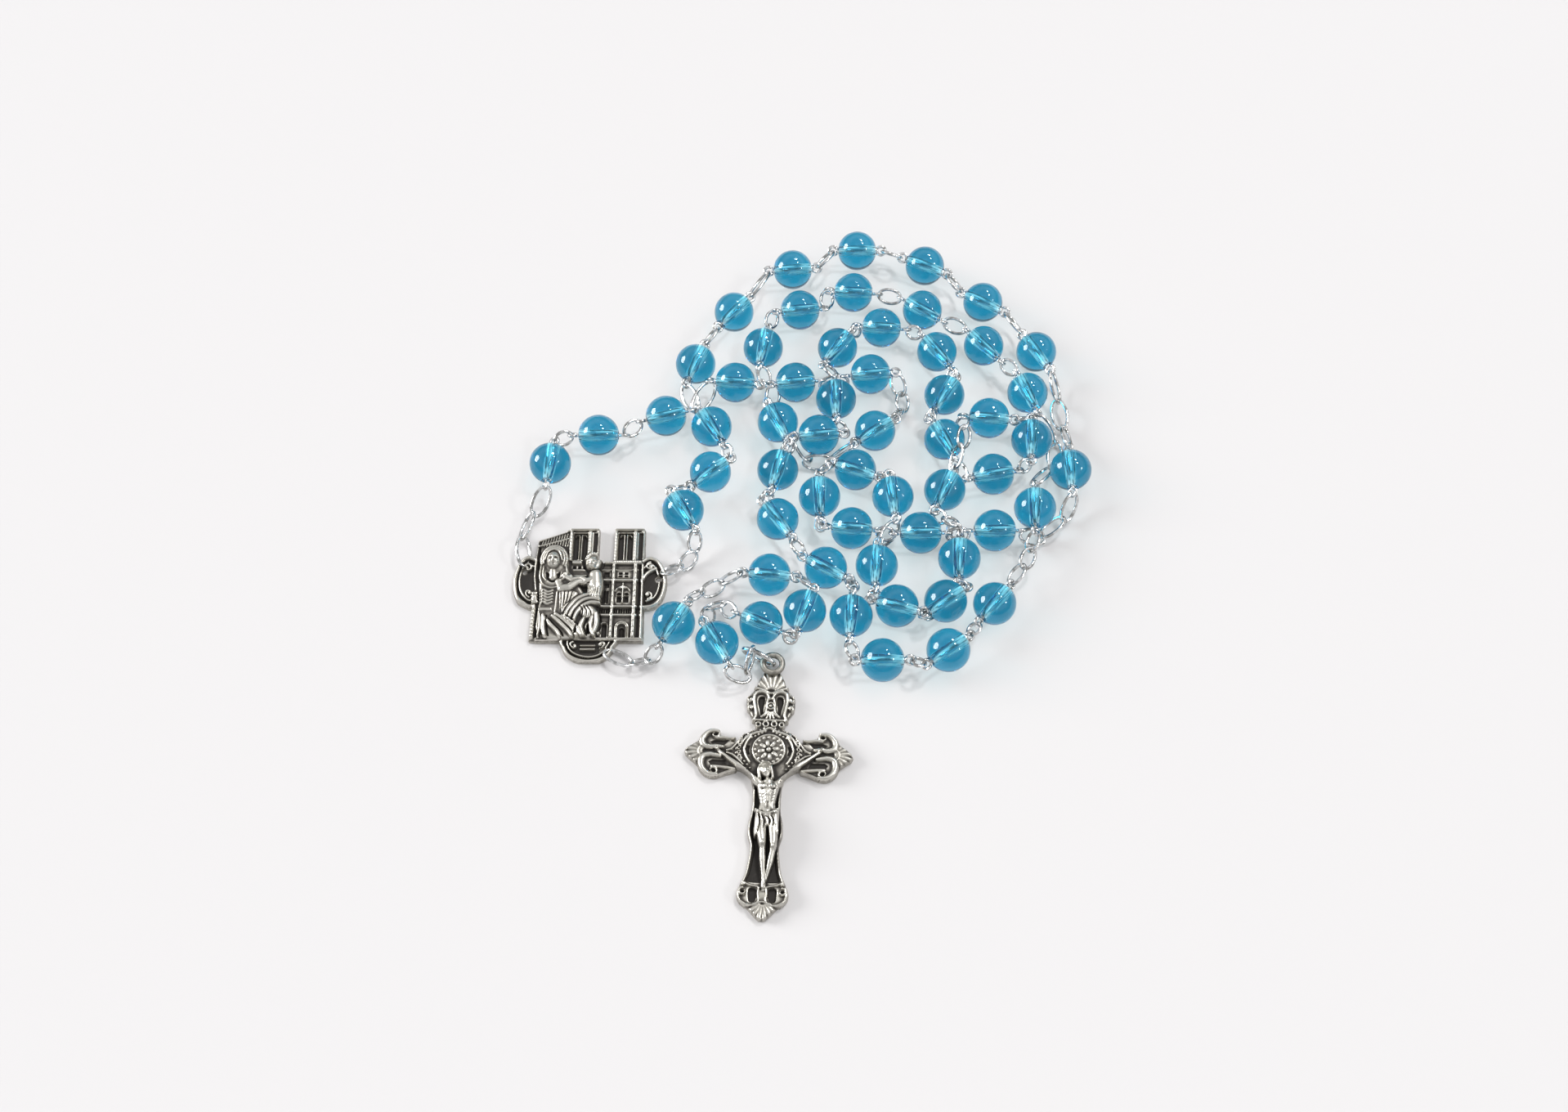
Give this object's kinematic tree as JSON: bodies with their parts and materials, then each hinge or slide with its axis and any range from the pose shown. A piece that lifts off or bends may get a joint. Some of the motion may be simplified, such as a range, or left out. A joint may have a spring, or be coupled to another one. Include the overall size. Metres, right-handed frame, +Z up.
{
  "type": "rosary",
  "caption": "Five-decade rosary of round clear-blue beads on wire pins, with a cast centrepiece and crucifix, laid loosely on a flat surface.",
  "frame": {"origin": "on the surface the rosary lies on, under the middle of its outline", "axes": "+Z up, +Y from the crucifix to the far end of the loop, +X to the right of it"},
  "size_m": [0.1105, 0.1463, 0.0081],
  "materials": {
    "aqua_glass": "clear, polished",
    "bright_wire": "bright plated wire",
    "antique_cast_metal": "antiqued: bright on the relief, blackened in the recesses"
  },
  "bodies": {
    "loop": {"wire_decades_1_2": "bright_wire", "strand_decade_3": "aqua_glass", "wire_decades_4_5": "bright_wire"},
    "right_ear_ring": {"right_ear_ring": "bright_wire"},
    "centrepiece": {"centrepiece": "antique_cast_metal", "right_ear_chain": "bright_wire"},
    "pendant_upper": {"pendant_upper_wire": "bright_wire"},
    "pendant_middle": {"pendant_middle_wire": "bright_wire"},
    "pendant_lower": {"pendant_lower_wire": "bright_wire"},
    "crucifix_ring": {"crucifix_ring": "bright_wire"},
    "crucifix": {"crucifix": "antique_cast_metal"},
    "bead_decade_1_01": {"bead_decade_1_01": "aqua_glass"},
    "bead_decade_1_02": {"bead_decade_1_02": "aqua_glass"},
    "bead_decade_1_03": {"bead_decade_1_03": "aqua_glass"},
    "bead_decade_1_04": {"bead_decade_1_04": "aqua_glass"},
    "bead_decade_1_05": {"bead_decade_1_05": "aqua_glass"},
    "bead_decade_1_06": {"bead_decade_1_06": "aqua_glass"},
    "bead_decade_1_07": {"bead_decade_1_07": "aqua_glass"},
    "bead_decade_1_08": {"bead_decade_1_08": "aqua_glass"},
    "bead_decade_1_09": {"bead_decade_1_09": "aqua_glass"},
    "bead_decade_1_10": {"bead_decade_1_10": "aqua_glass"},
    "bead_decade_2_01": {"bead_decade_2_01": "aqua_glass"},
    "bead_decade_2_02": {"bead_decade_2_02": "aqua_glass"},
    "bead_decade_2_03": {"bead_decade_2_03": "aqua_glass"},
    "bead_decade_2_04": {"bead_decade_2_04": "aqua_glass"},
    "bead_decade_2_05": {"bead_decade_2_05": "aqua_glass"},
    "bead_decade_2_06": {"bead_decade_2_06": "aqua_glass"},
    "bead_decade_2_07": {"bead_decade_2_07": "aqua_glass"},
    "bead_decade_2_08": {"bead_decade_2_08": "aqua_glass"},
    "bead_decade_2_09": {"bead_decade_2_09": "aqua_glass"},
    "bead_decade_2_10": {"bead_decade_2_10": "aqua_glass"},
    "bead_decade_4_01": {"bead_decade_4_01": "aqua_glass"},
    "bead_decade_4_02": {"bead_decade_4_02": "aqua_glass"},
    "bead_decade_4_03": {"bead_decade_4_03": "aqua_glass"},
    "bead_decade_4_04": {"bead_decade_4_04": "aqua_glass"},
    "bead_decade_4_05": {"bead_decade_4_05": "aqua_glass"},
    "bead_decade_4_06": {"bead_decade_4_06": "aqua_glass"},
    "bead_decade_4_07": {"bead_decade_4_07": "aqua_glass"},
    "bead_decade_4_08": {"bead_decade_4_08": "aqua_glass"},
    "bead_decade_4_09": {"bead_decade_4_09": "aqua_glass"},
    "bead_decade_4_10": {"bead_decade_4_10": "aqua_glass"},
    "bead_decade_5_01": {"bead_decade_5_01": "aqua_glass"},
    "bead_decade_5_02": {"bead_decade_5_02": "aqua_glass"},
    "bead_decade_5_03": {"bead_decade_5_03": "aqua_glass"},
    "bead_decade_5_04": {"bead_decade_5_04": "aqua_glass"},
    "bead_decade_5_05": {"bead_decade_5_05": "aqua_glass"},
    "bead_decade_5_06": {"bead_decade_5_06": "aqua_glass"},
    "bead_decade_5_07": {"bead_decade_5_07": "aqua_glass"},
    "bead_decade_5_08": {"bead_decade_5_08": "aqua_glass"},
    "bead_decade_5_09": {"bead_decade_5_09": "aqua_glass"},
    "bead_decade_5_10": {"bead_decade_5_10": "aqua_glass"},
    "bead_our_father_01": {"bead_our_father_01": "aqua_glass"},
    "bead_our_father_02": {"bead_our_father_02": "aqua_glass"},
    "bead_our_father_03": {"bead_our_father_03": "aqua_glass"},
    "bead_our_father_04": {"bead_our_father_04": "aqua_glass"},
    "bead_pendant_hail_mary_01": {"bead_pendant_hail_mary_01": "aqua_glass"},
    "bead_pendant_hail_mary_02": {"bead_pendant_hail_mary_02": "aqua_glass"},
    "bead_pendant_hail_mary_03": {"bead_pendant_hail_mary_03": "aqua_glass"},
    "bead_pendant_our_father_1": {"bead_pendant_our_father_1": "aqua_glass"},
    "bead_pendant_our_father_2": {"bead_pendant_our_father_2": "aqua_glass"}
  },
  "joints": [
    {"name": "ear_ring_swing", "type": "hinge", "parent": "loop", "child": "right_ear_ring", "pos_m": [-0.0213, 0.0021, 0.0032], "axis": [-1, 0, 0], "range_deg": [0, 40]},
    {"name": "centrepiece_lift", "type": "hinge", "parent": "right_ear_ring", "child": "centrepiece", "pos_m": [-0.0216, -0.0018, 0.0018], "axis": [-0.9613, 0.2756, 0], "range_deg": [0, 14]},
    {"name": "pendant_lift", "type": "hinge", "parent": "centrepiece", "child": "pendant_upper", "pos_m": [-0.0322, -0.0246, 0.0014], "axis": [0, -1, 0], "range_deg": [0, 40]},
    {"name": "pendant_middle_lift", "type": "hinge", "parent": "pendant_upper", "child": "pendant_middle", "pos_m": [-0.0216, -0.0124, 0.0034], "axis": [0, -1, 0], "range_deg": [0, 20]},
    {"name": "pendant_lower_lift", "type": "hinge", "parent": "pendant_middle", "child": "pendant_lower", "pos_m": [-0.0134, -0.0144, 0.0034], "axis": [-1, 0, 0], "range_deg": [0, 40]},
    {"name": "crucifix_ring_lift", "type": "hinge", "parent": "pendant_lower", "child": "crucifix_ring", "pos_m": [-0.0114, -0.0224, 0.002], "axis": [-1, 0, 0], "range_deg": [0, 40]},
    {"name": "crucifix_lift", "type": "hinge", "parent": "crucifix_ring", "child": "crucifix", "pos_m": [-0.0061, -0.0248, 0.0022], "axis": [-0.9986, 0.0523, 0], "range_deg": [0, 25]},
    {"name": "decade_1_01_spin", "type": "hinge", "parent": "loop", "child": "bead_decade_1_01", "pos_m": [-0.0235, 0.0065, 0.004], "axis": [-0.5, 0.866, 0], "continuous": true},
    {"name": "decade_1_02_spin", "type": "hinge", "parent": "loop", "child": "bead_decade_1_02", "pos_m": [-0.0185, 0.015, 0.004], "axis": [0.766, 0.6428, 0], "continuous": true},
    {"name": "decade_1_03_spin", "type": "hinge", "parent": "loop", "child": "bead_decade_1_03", "pos_m": [-0.0185, 0.0255, 0.004], "axis": [-0.5, 0.866, 0], "continuous": true},
    {"name": "decade_1_04_spin", "type": "hinge", "parent": "loop", "child": "bead_decade_1_04", "pos_m": [-0.022, 0.0405, 0.004], "axis": [0.342, 0.9397, 0], "continuous": true},
    {"name": "decade_1_05_spin", "type": "hinge", "parent": "loop", "child": "bead_decade_1_05", "pos_m": [-0.0145, 0.0535, 0.004], "axis": [0.6428, 0.766, 0], "continuous": true},
    {"name": "decade_1_06_spin", "type": "hinge", "parent": "loop", "child": "bead_decade_1_06", "pos_m": [-0.0025, 0.0645, 0.004], "axis": [0.9962, 0.0872, 0], "continuous": true},
    {"name": "decade_1_07_spin", "type": "hinge", "parent": "loop", "child": "bead_decade_1_07", "pos_m": [0.011, 0.0695, 0.004], "axis": [1, 0, 0], "continuous": true},
    {"name": "decade_1_08_spin", "type": "hinge", "parent": "loop", "child": "bead_decade_1_08", "pos_m": [0.025, 0.0655, 0.004], "axis": [0.9063, -0.4226, 0], "continuous": true},
    {"name": "decade_1_09_spin", "type": "hinge", "parent": "loop", "child": "bead_decade_1_09", "pos_m": [0.0365, 0.056, 0.004], "axis": [0.866, -0.5, 0], "continuous": true},
    {"name": "decade_1_10_spin", "type": "hinge", "parent": "loop", "child": "bead_decade_1_10", "pos_m": [0.0465, 0.0435, 0.004], "axis": [0.5, -0.866, 0], "continuous": true},
    {"name": "decade_2_01_spin", "type": "hinge", "parent": "loop", "child": "bead_decade_2_01", "pos_m": [0.0355, 0.002, 0.004], "axis": [-1, 0, 0], "continuous": true},
    {"name": "decade_2_02_spin", "type": "hinge", "parent": "loop", "child": "bead_decade_2_02", "pos_m": [0.0215, 0.0015, 0.004], "axis": [-1, 0, 0], "continuous": true},
    {"name": "decade_2_03_spin", "type": "hinge", "parent": "loop", "child": "bead_decade_2_03", "pos_m": [0.0085, 0.0025, 0.004], "axis": [-0.9962, 0.0872, 0], "continuous": true},
    {"name": "decade_2_04_spin", "type": "hinge", "parent": "loop", "child": "bead_decade_2_04", "pos_m": [0.0025, 0.0095, 0.004], "axis": [0, 1, 0], "continuous": true},
    {"name": "decade_2_05_spin", "type": "hinge", "parent": "loop", "child": "bead_decade_2_05", "pos_m": [0.0095, 0.0155, 0.004], "axis": [0.9397, -0.342, 0], "continuous": true},
    {"name": "decade_2_06_spin", "type": "hinge", "parent": "loop", "child": "bead_decade_2_06", "pos_m": [0.0165, 0.0095, 0.004], "axis": [0.0872, -0.9962, 0], "continuous": true},
    {"name": "decade_2_07_spin", "type": "hinge", "parent": "loop", "child": "bead_decade_2_07", "pos_m": [0.013, -0.0055, 0.004], "axis": [-0.0872, -0.9962, 0], "continuous": true},
    {"name": "decade_2_08_spin", "type": "hinge", "parent": "loop", "child": "bead_decade_2_08", "pos_m": [0.0165, -0.014, 0.004], "axis": [0.9659, -0.2588, 0], "continuous": true},
    {"name": "decade_2_09_spin", "type": "hinge", "parent": "loop", "child": "bead_decade_2_09", "pos_m": [0.0255, -0.013, 0.004], "axis": [0.8192, 0.5736, 0], "continuous": true},
    {"name": "decade_2_10_spin", "type": "hinge", "parent": "loop", "child": "bead_decade_2_10", "pos_m": [0.0285, -0.004, 0.004], "axis": [0.0872, 0.9962, 0], "continuous": true},
    {"name": "decade_4_01_spin", "type": "hinge", "parent": "loop", "child": "bead_decade_4_01", "pos_m": [0.013, 0.038, 0.004], "axis": [-0.9962, -0.0872, 0], "continuous": true},
    {"name": "decade_4_02_spin", "type": "hinge", "parent": "loop", "child": "bead_decade_4_02", "pos_m": [-0.002, 0.036, 0.004], "axis": [-0.9962, -0.0872, 0], "continuous": true},
    {"name": "decade_4_03_spin", "type": "hinge", "parent": "loop", "child": "bead_decade_4_03", "pos_m": [-0.0055, 0.0265, 0.004], "axis": [0.4226, -0.9063, 0], "continuous": true},
    {"name": "decade_4_04_spin", "type": "hinge", "parent": "loop", "child": "bead_decade_4_04", "pos_m": [-0.0055, 0.0155, 0.004], "axis": [-0.2588, -0.9659, 0], "continuous": true},
    {"name": "decade_4_05_spin", "type": "hinge", "parent": "loop", "child": "bead_decade_4_05", "pos_m": [-0.0055, 0.0045, 0.004], "axis": [0.5736, -0.8192, 0], "continuous": true},
    {"name": "decade_4_06_spin", "type": "hinge", "parent": "loop", "child": "bead_decade_4_06", "pos_m": [0.0035, -0.006, 0.004], "axis": [0.866, -0.5, 0], "continuous": true},
    {"name": "decade_4_07_spin", "type": "hinge", "parent": "loop", "child": "bead_decade_4_07", "pos_m": [0.008, -0.016, 0.004], "axis": [-0.0872, -0.9962, 0], "continuous": true},
    {"name": "decade_4_08_spin", "type": "hinge", "parent": "loop", "child": "bead_decade_4_08", "pos_m": [0.0135, -0.025, 0.004], "axis": [1, 0, 0], "continuous": true},
    {"name": "decade_4_09_spin", "type": "hinge", "parent": "loop", "child": "bead_decade_4_09", "pos_m": [0.0255, -0.023, 0.004], "axis": [0.8192, 0.5736, 0], "continuous": true},
    {"name": "decade_4_10_spin", "type": "hinge", "parent": "loop", "child": "bead_decade_4_10", "pos_m": [0.0345, -0.0135, 0.004], "axis": [0.6428, 0.766, 0], "continuous": true},
    {"name": "decade_5_01_spin", "type": "hinge", "parent": "loop", "child": "bead_decade_5_01", "pos_m": [0.044, 0.0335, 0.004], "axis": [-0.342, 0.9397, 0], "continuous": true},
    {"name": "decade_5_02_spin", "type": "hinge", "parent": "loop", "child": "bead_decade_5_02", "pos_m": [0.036, 0.045, 0.004], "axis": [-0.6428, 0.766, 0], "continuous": true},
    {"name": "decade_5_03_spin", "type": "hinge", "parent": "loop", "child": "bead_decade_5_03", "pos_m": [0.024, 0.054, 0.004], "axis": [-0.8192, 0.5736, 0], "continuous": true},
    {"name": "decade_5_04_spin", "type": "hinge", "parent": "loop", "child": "bead_decade_5_04", "pos_m": [0.01, 0.0585, 0.004], "axis": [-0.9962, 0.0872, 0], "continuous": true},
    {"name": "decade_5_05_spin", "type": "hinge", "parent": "loop", "child": "bead_decade_5_05", "pos_m": [-0.001, 0.054, 0.004], "axis": [-0.9962, -0.0872, 0], "continuous": true},
    {"name": "decade_5_06_spin", "type": "hinge", "parent": "loop", "child": "bead_decade_5_06", "pos_m": [-0.0085, 0.0445, 0.004], "axis": [-0.1736, -0.9848, 0], "continuous": true},
    {"name": "decade_5_07_spin", "type": "hinge", "parent": "loop", "child": "bead_decade_5_07", "pos_m": [-0.014, 0.036, 0.004], "axis": [-0.9962, 0.0872, 0], "continuous": true},
    {"name": "decade_5_08_spin", "type": "hinge", "parent": "loop", "child": "bead_decade_5_08", "pos_m": [-0.0275, 0.028, 0.004], "axis": [-0.9659, -0.2588, 0], "continuous": true},
    {"name": "decade_5_09_spin", "type": "hinge", "parent": "loop", "child": "bead_decade_5_09", "pos_m": [-0.0405, 0.0235, 0.004], "axis": [-1, 0, 0], "continuous": true},
    {"name": "decade_5_10_spin", "type": "hinge", "parent": "loop", "child": "bead_decade_5_10", "pos_m": [-0.0495, 0.017, 0.004], "axis": [-0.0872, -0.9962, 0], "continuous": true},
    {"name": "our_father_01_spin", "type": "hinge", "parent": "loop", "child": "bead_our_father_01", "pos_m": [0.051, 0.0155, 0.004], "axis": [0, -1, 0], "continuous": true},
    {"name": "our_father_02_spin", "type": "hinge", "parent": "loop", "child": "bead_our_father_02", "pos_m": [0.0265, 0.011, 0.004], "axis": [0.4226, 0.9063, 0], "continuous": true},
    {"name": "our_father_03_spin", "type": "hinge", "parent": "loop", "child": "bead_our_father_03", "pos_m": [0.0135, 0.0245, 0.004], "axis": [0.8192, 0.5736, 0], "continuous": true},
    {"name": "our_father_04_spin", "type": "hinge", "parent": "loop", "child": "bead_our_father_04", "pos_m": [0.0435, 0.007, 0.004], "axis": [0.0872, 0.9962, 0], "continuous": true},
    {"name": "pendant_hail_mary_01_spin", "type": "hinge", "parent": "pendant_middle", "child": "bead_pendant_hail_mary_01", "pos_m": [-0.007, -0.0075, 0.004], "axis": [0.9962, -0.0872, 0], "continuous": true},
    {"name": "pendant_hail_mary_02_spin", "type": "hinge", "parent": "pendant_middle", "child": "bead_pendant_hail_mary_02", "pos_m": [-0.0005, -0.015, 0.004], "axis": [-0.342, -0.9397, 0], "continuous": true},
    {"name": "pendant_hail_mary_03_spin", "type": "hinge", "parent": "pendant_middle", "child": "bead_pendant_hail_mary_03", "pos_m": [-0.0085, -0.0175, 0.004], "axis": [-0.9063, 0.4226, 0], "continuous": true},
    {"name": "pendant_our_father_1_spin", "type": "hinge", "parent": "pendant_upper", "child": "bead_pendant_our_father_1", "pos_m": [-0.0245, -0.0175, 0.004], "axis": [0.5, 0.866, 0], "continuous": true},
    {"name": "pendant_our_father_2_spin", "type": "hinge", "parent": "pendant_lower", "child": "bead_pendant_our_father_2", "pos_m": [-0.0165, -0.0215, 0.004], "axis": [0.5, -0.866, 0], "continuous": true}
  ]
}
